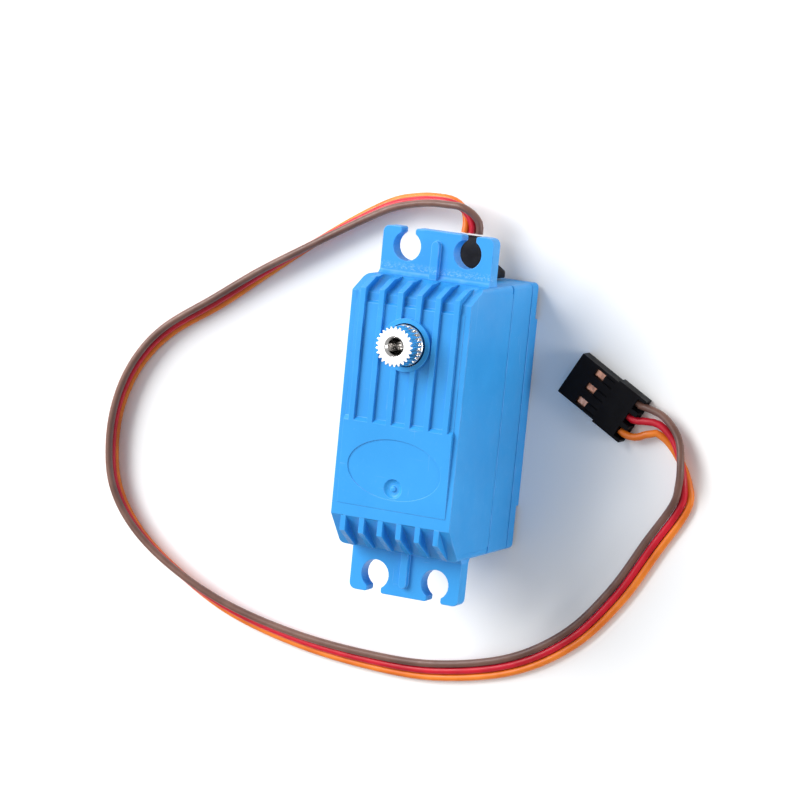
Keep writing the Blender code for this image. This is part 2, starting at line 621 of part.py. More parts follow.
def build_output_shaft(look, seat_steel):
    """Output gear, splined shaft and neck in one piece, and its bearing."""
    centre = (SHAFT_X, 0.0)
    shaft = wheel("output_shaft", centre, TEETH_OUTPUT, MODULE_LAST, 180.0 + 180.0 / TEETH_OUTPUT,
                  *OUTPUT_WHEEL, look)
    core = [(0.0, 7.2), (NECK_RADIUS, 7.2), (NECK_RADIUS, 18.8), (2.6, 18.8), (2.6, 21.4),
            (2.9, 21.4), (2.9, 21.8), (2.45, 21.8), (2.45, 24.35), (SHOULDER_RADIUS, 24.35),
            (SHOULDER_RADIUS, SHOULDER_TOP - 0.15), (SHOULDER_RADIUS - 0.15, SHOULDER_TOP),
            (0.0, SHOULDER_TOP)]
    join(shaft, turned("output_core", core, centre, None, 28))
    teeth = []
    step = 2.0 * pi / SPLINE_TEETH
    for tooth in range(SPLINE_TEETH):
        middle = tooth * step
        for radius, offset in ((SPLINE_ROOT_RADIUS, -0.42), (SPLINE_TIP_RADIUS, -0.13),
                               (SPLINE_TIP_RADIUS, 0.13), (SPLINE_ROOT_RADIUS, 0.42)):
            angle = middle + offset * step
            teeth.append((SHAFT_X + radius * cos(angle), radius * sin(angle)))
    join(shaft, prism("spline", teeth, SHOULDER_TOP - 0.4, SPLINE_TOP))
    hole = [(0.0, 22.0), (1.2, 22.6), (1.2, SPLINE_TOP - 0.45), (1.6, SPLINE_TOP + 0.05),
            (1.6, SPLINE_TOP + 1.0), (0.0, SPLINE_TOP + 1.0)]
    cut(shaft, turned("horn_screw_hole", hole, centre, None, 18))

    turned("bearing_outer_ring", box_outline(3.5, 4.05, *BEARING_SPAN), centre, seat_steel, 28)
    turned("bearing_inner_ring", box_outline(2.5, 2.95, *BEARING_SPAN), centre, seat_steel, 28)
    bushing = box_outline(NECK_RADIUS + RUNNING_GAP, 2.2, *BUSHING_SPAN)
    turned("output_bushing", bushing, centre, look, 24)


# ---------------------------------------------------------------- motor
def build_motor(looks):
    """Brushed motor: can, end cap, magnets, and the rotor with its pinion."""
    centre = (MOTOR_X, 0.0)
    can = [(7.0, 3.3), (MOTOR_RADIUS, 3.3), (MOTOR_RADIUS, 13.1), (7.1, 13.6), (2.4, 13.6),
           (2.4, 13.9), (0.9, 13.9), (0.9, 13.0), (7.0, 13.0)]
    turned("motor_can", can, centre, looks["steel"], 28)
    cap = [(0.9, 1.5), (2.4, 1.5), (2.4, 1.8), (MOTOR_RADIUS, 1.8), (MOTOR_RADIUS, 3.0),
           (6.6, 3.0), (6.6, 4.4), (5.6, 4.4), (5.6, 3.0), (0.9, 3.0)]
    turned("motor_end_cap", cap, centre, looks["black"], 28)
    for name, middle in (("left", 90.0), ("right", 270.0)):
        bm = bmesh.new()
        add_turned(bm, [(6.0, 5.2), (6.85, 5.2), (6.85, 12.4), (6.0, 12.4)], centre, 10,
                   radians(middle - 62.0), radians(middle + 62.0))
        finish_mesh(f"motor_magnet_{name}", bm, looks["ferrite"])
    armature = [(0.8, 4.9), (2.0, 4.9), (2.0, 5.6), (5.7, 5.6), (5.7, 12.2), (0.8, 12.2)]
    turned("motor_armature", armature, centre, looks["copper"], 20)
    cylinder("motor_shaft", 0.75, 1.7, 15.5, centre, looks["steel"], 16)
    gear = pinion("motor_pinion", centre, TEETH_MOTOR, MODULE_FIRST, 0.0, *MOTOR_PINION,
                  looks["brass"])
    cut(gear, cylinder("motor_pinion_bore", 0.78, 14.0, 16.0, centre, None, 16))


# ---------------------------------------------------------------- position sensor and board
def build_sensor(looks):
    """Potentiometer under the output shaft, and its turning sleeve."""
    centre = (SHAFT_X, 0.0)
    body = [(0.0, 4.6), (5.1, 4.6), (5.1, 8.2), (4.7, 8.5), (1.95, 8.5), (1.95, 5.6), (0.0, 5.6)]
    turned("potentiometer_body", body, centre, looks["black"], 24)
    sleeve = [(0.0, 5.9), (1.85, 5.9), (1.85, 9.9), (1.24, 9.9), (1.24, 7.0), (0.0, 7.0)]
    turned("potentiometer_sleeve", sleeve, centre, looks["white"], 20)


def build_board(looks):
    """Control board in the cover's shaft end, with its chips and capacitor."""
    notch_x, notch_y = 15.9, 5.4
    outline = [(0.2, -8.3), (notch_x, -8.3), (notch_x, -notch_y), (17.6, -notch_y),
               (17.6, notch_y), (notch_x, notch_y), (notch_x, 8.3), (0.2, 8.3)]
    prism("control_board", outline, *BOARD_SPAN, looks["board"])
    low = BOARD_SPAN[1] + BOARD_GAP
    chips = (("microcontroller", 4.0, 5.4, 1.9, 1.9, 0.7),
             ("motor_driver_left", 3.6, -2.4, 1.2, 1.5, 0.8),
             ("motor_driver_right", 3.6, -6.2, 1.2, 1.5, 0.8))
    for name, x, y, half_x, half_y, height in chips:
        prism(name, box_outline(x - half_x, x + half_x, y - half_y, y + half_y), low,
              low + height, looks["black"])
    cylinder("board_capacitor", 1.3, low, low + 3.2, (3.4, 1.4), looks["steel"], 20)


# ---------------------------------------------------------------- lead and plug
def catmull(before, start, end, after, t):
    """One value of a smooth curve through its points."""
    return 0.5 * (2.0 * start + (end - before) * t
                  + (2.0 * before - 5.0 * start + 4.0 * end - after) * t * t
                  + (3.0 * start - before - 3.0 * end + after) * t ** 3)


def spaced(points):
    """Points at even distances along a fine line of points, closer together at the plug."""
    along = [0.0]
    for a, b in zip(points, points[1:]):
        along.append(along[-1] + (b - a).length)
    main = along[-1] - LEAD_END_RUN
    targets = [main * number / (LEAD_POINTS - 1) for number in range(LEAD_POINTS)]
    targets += [main + LEAD_END_RUN * (number + 1) / LEAD_END_POINTS
                for number in range(LEAD_END_POINTS)]
    chosen = []
    place = 0
    for target in targets:
        while place < len(points) - 2 and along[place + 1] < target:
            place += 1
        share = (target - along[place]) / (along[place + 1] - along[place])
        chosen.append(points[place].lerp(points[place + 1], share))
    return chosen


def smooth_route(route, steps=24):
    """A fine line of points on a smooth curve through the route's points."""
    ends = [tuple(2.0 * a - b for a, b in zip(route[0], route[1])), *route,
            tuple(2.0 * a - b for a, b in zip(route[-1], route[-2]))]
    fine = []
    for index in range(1, len(ends) - 2):
        for step in range(steps):
            fine.append([catmull(*values, step / steps)
                         for values in zip(*ends[index - 1:index + 3])])
    fine.append(list(route[-1]))
    return fine


def wire_points(offset):
    """Centre line of one wire: the middle route moved across the ribbon by its turn."""
    middle = smooth_route(LEAD_ROUTE)
    points = []
    for index, (x, y, z, turn, pitch) in enumerate(middle):
        before = middle[max(index - 1, 0)]
        after = middle[min(index + 1, len(middle) - 1)]
        run = Vector((after[0] - before[0], after[1] - before[1], 0.0)).normalized()
        left = Vector((-run.y, run.x, 0.0))
        across = left * cos(radians(turn)) + Vector((0.0, 0.0, 1.0)) * sin(radians(turn))
        lowest = WIRE_RADIUS + TABLE_GAP + pitch * abs(sin(radians(turn)))
        points.append(Vector((x, y, max(z, lowest))) + across * offset * pitch)
    return [point * MM for point in spaced(points)]


def build_lead():
    """Three wires, each a tube along its own centre line."""
    for name, offset, colour in WIRES:
        points = wire_points(offset)
        curve = bpy.data.curves.new(f"lead_{name}", "CURVE")
        curve.dimensions = "3D"
        curve.bevel_depth = WIRE_RADIUS * MM
        curve.bevel_resolution = 2
        curve.use_fill_caps = True
        spline = curve.splines.new("POLY")
        spline.points.add(len(points) - 1)
        for target, point in zip(spline.points, points):
            target.co = (*point, 1.0)
        wire = bpy.data.objects.new(f"lead_{name}", curve)
        curve.materials.append(material(f"wire_{name}", colour, 0.4))
        bpy.context.scene.collection.objects.link(wire)


def build_boot(look):
    """Rubber boot: flange outside the wall, neck through it, tapered nose for the wires."""
    sections = ((17.9, 4.2, 1.9), (18.9, 4.2, 1.9), (18.9, 3.0, 1.9), (20.9, 3.0, 1.9),
                (20.9, 5.4, 2.3), (21.9, 5.4, 2.3), (22.9, 4.0, 2.1), (24.2, 3.2, 1.7),
                (BOOT_TIP_X, 2.3, 0.95))
    bm = bmesh.new()
    rings = []
    for x, half_y, half_z in sections:
        corners = ((half_y, half_z - 0.5), (half_y - 0.6, half_z), (0.6 - half_y, half_z),
                   (-half_y, half_z - 0.5), (-half_y, 0.5 - half_z), (0.6 - half_y, -half_z),
                   (half_y - 0.6, -half_z), (half_y, 0.5 - half_z))
        rings.append([bm.verts.new((x, y, BOOT_Z + z)) for y, z in corners])
    for ring, after in zip(rings, rings[1:]):
        for index in range(8):
            up = (index + 1) % 8
            bm.faces.new((ring[index], ring[up], after[up], after[index]))
    bm.faces.new(rings[0])
    bm.faces.new(rings[-1])
    return finish_mesh("lead_boot", bm, look)


def plug_frame(along, across):
    """A place on the plug: `along` from its front towards the wires, `across` to brown."""
    heading = (cos(PLUG_HEADING), sin(PLUG_HEADING))
    start = -0.5 * PLUG_LENGTH
    x = PLUG_CENTRE[0] + heading[0] * (start + along) - heading[1] * across
    y = PLUG_CENTRE[1] + heading[1] * (start + along) + heading[0] * across
    return (x, y)


def plug_box(low_along, high_along, low_across, high_across):
    return [plug_frame(low_along, low_across), plug_frame(high_along, low_across),
            plug_frame(high_along, high_across), plug_frame(low_along, high_across)]


def build_plug(looks):
    """Three-pin housing with its cavities and windows, and a terminal on each wire."""
    front, rear = 0.5 * PLUG_FRONT_WIDTH, 0.5 * PLUG_REAR_WIDTH
    outline = [plug_frame(0.0, -front), plug_frame(PLUG_STEP, -front),
               plug_frame(PLUG_STEP, -rear), plug_frame(PLUG_LENGTH, -rear),
               plug_frame(PLUG_LENGTH, rear), plug_frame(PLUG_STEP, rear),
               plug_frame(PLUG_STEP, front), plug_frame(0.0, front)]
    housing = prism("plug_housing", outline, 0.0, PLUG_HEIGHT, looks["plug"])
    bm = bmesh.new()
    for _, offset, _ in WIRES:
        across = offset * PLUG_PITCH
        add_prism(bm, plug_box(-1.0, PLUG_LENGTH - PLUG_SLOT + 0.3, across - 0.75,
                               across + 0.75), *PLUG_BORE)
    cut(housing, finish_mesh("plug_bores", bm, None))
    bm = bmesh.new()
    for _, offset, _ in WIRES:
        across = offset * PLUG_PITCH
        add_prism(bm, plug_box(PLUG_LENGTH - PLUG_SLOT, PLUG_LENGTH + 1.0, across - 0.9,
                               across + 0.9), 0.4, PLUG_HEIGHT + 1.0)
        add_prism(bm, plug_box(*PLUG_WINDOW, across - 0.62, across + 0.62), 1.8,
                  PLUG_HEIGHT + 1.0)
    cut(housing, finish_mesh("plug_openings", bm, None))
    for name, offset, _ in WIRES:
        across = offset * PLUG_PITCH
        ends = plug_box(0.6, PLUG_LENGTH - PLUG_SLOT - 0.3, across - 0.6, across + 0.6)
        terminal = prism(f"terminal_{name}", ends, 0.7, 1.9, looks["brass"])
        socket = plug_box(-0.5, 4.6, across - 0.35, across + 0.35)
        cut(terminal, prism(f"socket_{name}", socket, 0.98, 1.62))


# ---------------------------------------------------------------- assembly
def clear_scene():
    for old in list(bpy.data.objects):
        bpy.data.objects.remove(old, do_unlink=True)


def main():
    clear_scene()
    looks = {
        "blue": material("blue_plastic", (0.05, 0.28, 0.75), 0.42),
        "steel": material("steel", (0.62, 0.62, 0.64), 0.3, 1.0),
        "brass": material("brass", (0.75, 0.55, 0.25), 0.3, 1.0),
        "bright": material("bright_metal", (0.85, 0.84, 0.82), 0.2, 1.0),
        "black": material("black_plastic", (0.02, 0.02, 0.02), 0.5),
        "plug": material("plug_plastic", (0.012, 0.012, 0.013), 0.45),
        "rubber": material("black_rubber", (0.02, 0.018, 0.018), 0.75),
        "white": material("white_plastic", (0.8, 0.8, 0.76), 0.5),
        "ferrite": material("ferrite", (0.08, 0.08, 0.085), 0.6),
        "copper": material("copper_winding", (0.6, 0.26, 0.12), 0.4, 1.0),
        "board": material("circuit_board", (0.02, 0.16, 0.07), 0.5),
    }
    build_upper_case(looks["blue"])
    build_middle_case(looks["blue"])
    build_bottom_cover(looks["blue"])
    build_screws(looks["steel"])
    build_gear_train(looks["steel"], looks["brass"])
    build_output_shaft(looks["bright"], looks["steel"])
    build_motor(looks)
    build_sensor(looks)
    build_board(looks)
    build_boot(looks["rubber"])
    build_lead()
    build_plug(looks)


main()
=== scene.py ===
"""Looks of a low-profile hobby servo motor: shells, shaft, wires, plug, materials and studio.

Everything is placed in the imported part's frame: +Z up along the output shaft, +X towards the
lead, the servo standing at Z = 0. Lengths are written in millimetres and multiplied by MM.
"""

from math import cos, radians, sin

import bmesh
import bpy
from mathutils import Matrix, Vector


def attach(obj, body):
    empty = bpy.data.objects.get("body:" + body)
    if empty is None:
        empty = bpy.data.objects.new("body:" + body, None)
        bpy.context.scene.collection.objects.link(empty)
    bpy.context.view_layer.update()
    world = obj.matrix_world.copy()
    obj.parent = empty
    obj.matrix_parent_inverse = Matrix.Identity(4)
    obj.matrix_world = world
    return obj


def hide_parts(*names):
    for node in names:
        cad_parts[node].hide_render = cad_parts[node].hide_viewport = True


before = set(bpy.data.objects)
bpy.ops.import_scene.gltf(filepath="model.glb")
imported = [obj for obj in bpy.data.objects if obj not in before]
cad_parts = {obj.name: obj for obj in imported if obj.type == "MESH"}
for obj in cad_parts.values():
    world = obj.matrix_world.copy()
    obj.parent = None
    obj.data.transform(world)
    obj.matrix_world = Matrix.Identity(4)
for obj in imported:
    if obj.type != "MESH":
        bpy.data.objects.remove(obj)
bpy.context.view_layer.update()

MM = 0.001
SHAFT_X = 11.2
SHAFT_SHOWN_FROM = 25.3
EDGE_ANGLE = 35.0

# Case: its outside, the hollow inside it, and the parts of it that are rounded differently.
CASE_HALF_LENGTH = 20.6
CASE_HALF_WIDTH = 9.85
HOLLOW_HALF_LENGTH = 19.45
HOLLOW_HALF_WIDTH = 8.7
HOLLOW_TOP = 22.45
HOLLOW_FLOOR = 0.85
LUG_ROOT_SPAN = (15.2, 17.9)
FACE_DETAIL_FROM = 19.0
FACE_DETAIL_HALF_WIDTH = 9.2

# Case: fine upright line on the sides near each corner, and the notch below it.
LINE_FROM_END = (1.14, 1.0)
LINE_SPAN = (10.9, 19.4)
LINE_DEPTH = 0.03
NOTCH_FROM_END = (1.3, 0.15)
NOTCH_SPAN = (10.0, 10.45)
NOTCH_DEPTH = 0.45
CUT_BEYOND = 0.5

# Lead: the same route as the part's own, for its middle wire.
# x, y, z, turn of the ribbon about its run in degrees, distance between wires.
WIRE_RADIUS = 0.58
WIRE_PITCH = 1.2
PLUG_PITCH = 2.54
TABLE_GAP = 0.03
WIRE_POINTS = 260
ROUTE_STEPS = 24
LEAD_ROUTE = (
    (27.15, 0.0, 5.6, 180, WIRE_PITCH),
    (28.6, 0.1, 5.6, 168, WIRE_PITCH),
    (30.5, 1.7, 5.5, 115, WIRE_PITCH),
    (31.3, 4.3, 4.9, 76, WIRE_PITCH),
    (31.3, 7.4, 4.1, 68, WIRE_PITCH),
    (30.8, 11.0, 3.1, 62, WIRE_PITCH),
    (29.4, 15.8, 2.1, 60, WIRE_PITCH),
    (25.8, 22.3, 1.75, 66, WIRE_PITCH),
    (20.8, 30.0, 1.85, 84, WIRE_PITCH),
    (16.0, 37.0, 1.85, 106, WIRE_PITCH),
    (10.6, 44.4, 1.8, 118, WIRE_PITCH),
    (5.0, 52.6, 1.8, 113, WIRE_PITCH),
    (-0.5, 57.4, 1.85, 102, WIRE_PITCH),
    (-7.0, 60.2, 1.9, 92, WIRE_PITCH),
    (-14.3, 61.0, 1.9, 86, WIRE_PITCH),
    (-21.5, 59.6, 1.9, 83, WIRE_PITCH),
    (-27.8, 55.0, 1.9, 78, WIRE_PITCH),
    (-33.2, 47.4, 1.8, 70, WIRE_PITCH),
    (-37.8, 37.4, 1.6, 50, WIRE_PITCH),
    (-40.7, 25.0, 1.4, 38, WIRE_PITCH),
    (-41.9, 12.4, 1.2, 28, WIRE_PITCH),
    (-41.6, 0.8, 1.1, 22, WIRE_PITCH),
    (-38.6, -11.5, 1.0, 18, WIRE_PITCH),
    (-33.0, -20.8, 1.0, 15, WIRE_PITCH),
    (-25.2, -27.6, 0.95, 12, WIRE_PITCH),
    (-16.6, -32.7, 0.95, 14, WIRE_PITCH),
    (-10.0, -36.6, 1.2, 32, WIRE_PITCH),
    (-6.4, -37.0, 1.8, 72, WIRE_PITCH),
    (-3.0, -36.1, 1.8, 112, WIRE_PITCH),
    (0.0, -34.5, 1.5, 152, WIRE_PITCH),
    (1.9, -32.1, 1.35, 172, 1.45),
    (2.15, -29.9, 1.3, 180, 2.0),
    (2.0, -27.9, 1.3, 180, PLUG_PITCH),
    (2.51, -26.75, 1.3, 180, PLUG_PITCH),
)
WIRES = (("brown", 1), ("red", 0), ("orange", -1))

# Plug: its middle, the direction across it, where its sides begin, and its latch tongues.
PLUG_AT = (4.9, -22.53)
PLUG_SIDE = (0.8704, -0.4924)
PLUG_MIDDLE = PLUG_AT[0] * PLUG_SIDE[0] + PLUG_AT[1] * PLUG_SIDE[1]
PLUG_OUTER = 3.55
PLUG_TOP = 2.5
TONGUE_HALF_WIDTH = 0.54
TONGUE_SLIT = (-0.6, 1.4)
SLIT_HALF_WIDTH = 0.07
SLIT_DEPTH = 0.25

# Studio
CAMERA_RIGHT = (0.09716, -0.89877, -0.42752)
CAMERA_UP = (0.98714, 0.1418, -0.07375)
CAMERA_BACK = (0.12691, -0.41486, 0.90099)
CAMERA_AT = (75.827, -236.56, 538.785)
FLOOR_HALF = 3.0
LAMPS_AIM = (0.0, 0.0, 0.01)
WORLD_STRENGTH = 0.37


# ---------------------------------------------------------------- node helpers
def add_node(tree, kind, inputs=None, **settings):
    """A shader node with its settings and inputs; an input may be a socket to link from."""
    node = tree.nodes.new(kind)
    for key, value in settings.items():
        setattr(node, key, value)
    for key, value in (inputs or {}).items():
        if isinstance(value, bpy.types.NodeSocket):
            tree.links.new(value, node.inputs[key])
        else:
            node.inputs[key].default_value = value
    return node


def new_look(name, **sockets):
    """A material with its Principled shader's constant sockets set."""
    look = bpy.data.materials.new(name)
    look.use_nodes = True
    shader = look.node_tree.nodes["Principled BSDF"]
    for key, value in sockets.items():
        shader.inputs[key.replace("_", " ")].default_value = value
    return look, look.node_tree, shader


def place(tree, scale=(1.0, 1.0, 1.0), location=(0.0, 0.0, 0.0)):
    """Object coordinates in metres, moved and scaled."""
    coordinates = add_node(tree, "ShaderNodeTexCoord").outputs["Object"]
    mapping = add_node(tree, "ShaderNodeMapping", {"Vector": coordinates, "Location": location,
                                                   "Scale": scale})
    return mapping.outputs["Vector"]


def noise(tree, vector, scale, detail=3.0, roughness=0.5):
    inputs = {"Vector": vector, "Scale": scale, "Detail": detail, "Roughness": roughness}
    return add_node(tree, "ShaderNodeTexNoise", inputs).outputs["Fac"]


def remap(tree, value, low, high, to_low=0.0, to_high=1.0):
    """A value mapped smoothly from one range to another and held inside it."""
    node = add_node(tree, "ShaderNodeMapRange", {"Value": value, "From Min": low, "From Max": high,
                                                 "To Min": to_low, "To Max": to_high},
                    interpolation_type="SMOOTHSTEP")
    return node.outputs["Result"]


def calculate(tree, operation, a, b=0.0):
    return add_node(tree, "ShaderNodeMath", {0: a, 1: b}, operation=operation).outputs[0]


def mix_colour(tree, factor, a, b):
    node = add_node(tree, "ShaderNodeMix", data_type="RGBA")
    for index, value in ((0, factor), (6, a), (7, b)):
        if isinstance(value, bpy.types.NodeSocket):
            tree.links.new(value, node.inputs[index])
        elif index == 0:
            node.inputs[index].default_value = value
        else:
            node.inputs[index].default_value = (*value, 1.0)
    return node.outputs[2]


def bump(tree, height, distance, strength, normal=None):
    inputs = {"Height": height, "Distance": distance, "Strength": strength}
    if normal is not None:
        inputs["Normal"] = normal
    return add_node(tree, "ShaderNodeBump", inputs).outputs["Normal"]


def connect(tree, shader, colour=None, roughness=None, normal=None):
    for key, value in (("Base Color", colour), ("Roughness", roughness), ("Normal", normal)):
        if value is not None:
            tree.links.new(value, shader.inputs[key])


# ---------------------------------------------------------------- materials
def scratches(tree, along, density):
    """Sparse thin streaks that run along one axis, 0 to 1."""
    stretch = [2600.0, 2600.0, 2600.0]
    stretch["XYZ".index(along)] = 130.0
    streaks = remap(tree, noise(tree, place(tree, stretch), 1.0, 2.0), density, density + 0.06)
    patches = remap(tree, noise(tree, place(tree), 140.0, 2.0), 0.5, 0.62)
    return calculate(tree, "MULTIPLY", streaks, patches)


def blue_plastic():
    """Moulded blue plastic with tone variation, fine scratches, scuffs at the lug roots."""
    look, tree, shader = new_look("blue_plastic", IOR=1.5, Specular_IOR_Level=0.22,
                                  Coat_Weight=0.03, Coat_Roughness=0.28)
    tone = noise(tree, place(tree), 70.0, 4.0)
    colour = mix_colour(tree, remap(tree, tone, 0.3, 0.7), (0.025, 0.285, 0.70), (0.034, 0.322, 0.755))
    speckle = remap(tree, noise(tree, place(tree), 1900.0, 2.0), 0.62, 0.78, 0.0, 0.22)
    colour = mix_colour(tree, speckle, colour, (0.09, 0.38, 0.86))
    marks = calculate(tree, "MAXIMUM", scratches(tree, "X", 0.69), scratches(tree, "Y", 0.70))
    colour = mix_colour(tree, calculate(tree, "MULTIPLY", marks, 0.28), colour, (0.26, 0.52, 0.92))

    # Rubbed band where the lug at the +X end meets the case.
    position = add_node(tree, "ShaderNodeSeparateXYZ",
                        {"Vector": add_node(tree, "ShaderNodeTexCoord").outputs["Object"]})
    reach = calculate(tree, "ABSOLUTE", position.outputs["X"])
    band = calculate(tree, "MULTIPLY", remap(tree, reach, 21.3 * MM, 21.6 * MM),
                remap(tree, reach, 22.8 * MM, 21.9 * MM))
    band = calculate(tree, "MULTIPLY", band, remap(tree, position.outputs["X"], 0.0, 1.0 * MM))
    grit = remap(tree, noise(tree, place(tree, (1.0, 0.6, 1.0)), 5200.0, 4.0, 0.7), 0.47, 0.62)
    scuff = calculate(tree, "MULTIPLY", band, grit)
    colour = mix_colour(tree, calculate(tree, "MULTIPLY", scuff, 0.42), colour, (0.32, 0.58, 0.95))

    worn = add_node(tree, "ShaderNodeAttribute", attribute_name="rounded_edge").outputs["Fac"]
    rub = remap(tree, noise(tree, place(tree), 420.0, 3.0), 0.35, 0.65, 0.05, 0.3)
    colour = mix_colour(tree, calculate(tree, "MULTIPLY", worn, rub), colour, (0.22, 0.50, 1.0))

    shine = remap(tree, noise(tree, place(tree), 260.0, 4.0), 0.3, 0.7, 0.34, 0.46)
    shine = calculate(tree, "ADD", shine, calculate(tree, "MULTIPLY", scuff, 0.2))
    grain = noise(tree, place(tree), 5200.0, 2.0)
    normal = bump(tree, grain, 0.000012, 0.5)
    normal = bump(tree, calculate(tree, "SUBTRACT", 1.0, marks), 0.00002, 0.5, normal)
    connect(tree, shader, colour, shine, normal)
    return look


def plain_plastic(name, dark, light, rough=(0.4, 0.55), grain=0.00001, **sockets):
    """Any other moulded plastic or rubber: two tones, grain and uneven gloss."""
    look, tree, shader = new_look(name, **sockets)
    tone = remap(tree, noise(tree, place(tree), 320.0, 5.0, 0.6), 0.3, 0.7)
    dust = remap(tree, noise(tree, place(tree), 2300.0, 3.0), 0.6, 0.75, 0.0, 0.3)
    colour = mix_colour(tree, tone, dark, light)
    colour = mix_colour(tree, dust, colour, [min(1.0, 1.8 * value + 0.002) for value in light])
    gloss = remap(tree, noise(tree, place(tree), 600.0, 4.0), 0.3, 0.7, *rough)
    normal = bump(tree, noise(tree, place(tree), 4200.0, 3.0), grain, 0.6)
    connect(tree, shader, colour, gloss, normal)
    return look


def insulation(name, dark, light):
    """Soft vinyl wire insulation, drawn along its length, with faint handling marks."""
    look, tree, shader = new_look(name, IOR=1.48, Specular_IOR_Level=0.32, Coat_Weight=0.1,
                                  Coat_Roughness=0.22)
    tone = remap(tree, noise(tree, place(tree), 210.0, 4.0), 0.3, 0.7)
    colour = mix_colour(tree, tone, dark, light)
    dust = remap(tree, noise(tree, place(tree), 3300.0, 3.0), 0.62, 0.76, 0.0, 0.2)
    colour = mix_colour(tree, dust, colour, [0.7 * value + 0.12 for value in light])
    gloss = remap(tree, noise(tree, place(tree), 900.0, 4.0), 0.3, 0.7, 0.3, 0.46)
    normal = bump(tree, noise(tree, place(tree), 2600.0, 3.0), 0.00002, 0.45)
    connect(tree, shader, colour, gloss, normal)
    return look


def metal(name, dark, light, rough=(0.18, 0.34), ring_centre=None):
    """Machined metal: turning lines round an axis if there is one, else a cloudy drawn finish."""
    look, tree, shader = new_look(name, Metallic=1.0)
    tone = remap(tree, noise(tree, place(tree), 420.0, 5.0, 0.6), 0.3, 0.7)
    colour = mix_colour(tree, tone, dark, light)
    if ring_centre is None:
        lines = noise(tree, place(tree, (1.0, 1.0, 14.0)), 700.0, 4.0, 0.6)
    else:
        vector = place(tree, location=(-ring_centre * MM, 0.0, 0.0))
        wave = add_node(tree, "ShaderNodeTexWave",
                        {"Vector": vector, "Scale": 2400.0, "Distortion": 1.2, "Detail": 2.0,
                         "Detail Scale": 0.6}, wave_type="RINGS", rings_direction="Z")
        lines = wave.outputs["Fac"]
    gloss = remap(tree, noise(tree, place(tree), 1500.0, 4.0), 0.3, 0.7, *rough)
    normal = bump(tree, lines, 0.000006, 0.35)
    connect(tree, shader, colour, gloss, normal)
    return look


def circuit_board():
    """Green solder mask with copper tracks showing through as lighter lines."""
    look, tree, shader = new_look("circuit_board", IOR=1.5, Coat_Weight=0.4, Coat_Roughness=0.15)
    bricks = add_node(tree, "ShaderNodeTexBrick",
                      {"Vector": place(tree), "Scale": 900.0, "Mortar Size": 0.03,
                       "Color1": (0, 0, 0, 1), "Color2": (0, 0, 0, 1), "Mortar": (1, 1, 1, 1)})
    cloud = remap(tree, noise(tree, place(tree), 300.0, 4.0), 0.3, 0.7)
    mask = mix_colour(tree, cloud, (0.010, 0.10, 0.045), (0.016, 0.15, 0.06))
    tracks = calculate(tree, "MULTIPLY", bricks.outputs["Color"], 0.6)
    colour = mix_colour(tree, tracks, mask, (0.05, 0.30, 0.12))
    gloss = remap(tree, noise(tree, place(tree), 1200.0, 3.0), 0.3, 0.7, 0.25, 0.4)
    connect(tree, shader, colour, gloss, bump(tree, bricks.outputs["Color"], 0.00003, 0.5))
    return look


def copper_winding():
    """Enamelled copper wire wound in tight turns, with painted shade in the grooves between them."""
    look, tree, shader = new_look("copper_winding", Metallic=1.0, Coat_Weight=0.5)
    wave = add_node(tree, "ShaderNodeTexWave", {"Vector": place(tree), "Scale": 1100.0,
                                                "Distortion": 2.0, "Detail": 2.0},
                    wave_type="BANDS", bands_direction="DIAGONAL")
    # Painted shade: the copper is darker in the grooves between the turns, where the bump is low, and
    # lighter on their crests.
    colour = mix_colour(tree, wave.outputs["Fac"], (0.30, 0.09, 0.03), (0.78, 0.34, 0.16))
    gloss = remap(tree, noise(tree, place(tree), 900.0, 3.0), 0.3, 0.7, 0.25, 0.4)
    connect(tree, shader, colour, gloss, bump(tree, wave.outputs["Fac"], 0.00008, 0.7))
    return look


LOOKS = {
    "blue": blue_plastic(),
    "black": plain_plastic("black_plastic", (0.010, 0.010, 0.011), (0.018, 0.018, 0.020)),
    "plug": plain_plastic("plug_plastic", (0.0025, 0.0022, 0.0032), (0.0042, 0.0038, 0.005),
                          (0.36, 0.5), 0.000012, Specular_IOR_Level=0.07),
    "rubber": plain_plastic("black_rubber", (0.006, 0.006, 0.009), (0.013, 0.013, 0.017),
                            (0.5, 0.72), 0.00003, Specular_IOR_Level=0.1),
    "white": plain_plastic("white_plastic", (0.62, 0.61, 0.56), (0.78, 0.77, 0.72)),
    "ferrite": plain_plastic("ferrite", (0.035, 0.035, 0.037), (0.07, 0.07, 0.075),
                             (0.5, 0.8), 0.00003),
    "steel": metal("steel", (0.42, 0.42, 0.44), (0.66, 0.66, 0.67)),
    "zinc": metal("zinc_screw", (0.50, 0.50, 0.50), (0.72, 0.71, 0.69), (0.25, 0.45)),
    "brass": metal("gear_brass", (0.58, 0.38, 0.13), (0.80, 0.58, 0.25), (0.2, 0.36)),
    "shaft": metal("shaft_metal", (0.84, 0.82, 0.80), (0.97, 0.96, 0.95), (0.10, 0.20), SHAFT_X),
    "terminal": metal("terminal_copper", (0.34, 0.15, 0.10), (0.60, 0.33, 0.24), (0.2, 0.4)),
    "copper": copper_winding(),
    "board": circuit_board(),
    "brown": insulation("wire_brown", (0.125, 0.058, 0.044), (0.195, 0.100, 0.076)),
    "red": insulation("wire_red", (0.46, 0.003, 0.016), (0.66, 0.008, 0.030)),
    "orange": insulation("wire_orange", (0.68, 0.145, 0.010), (0.86, 0.225, 0.020)),
}

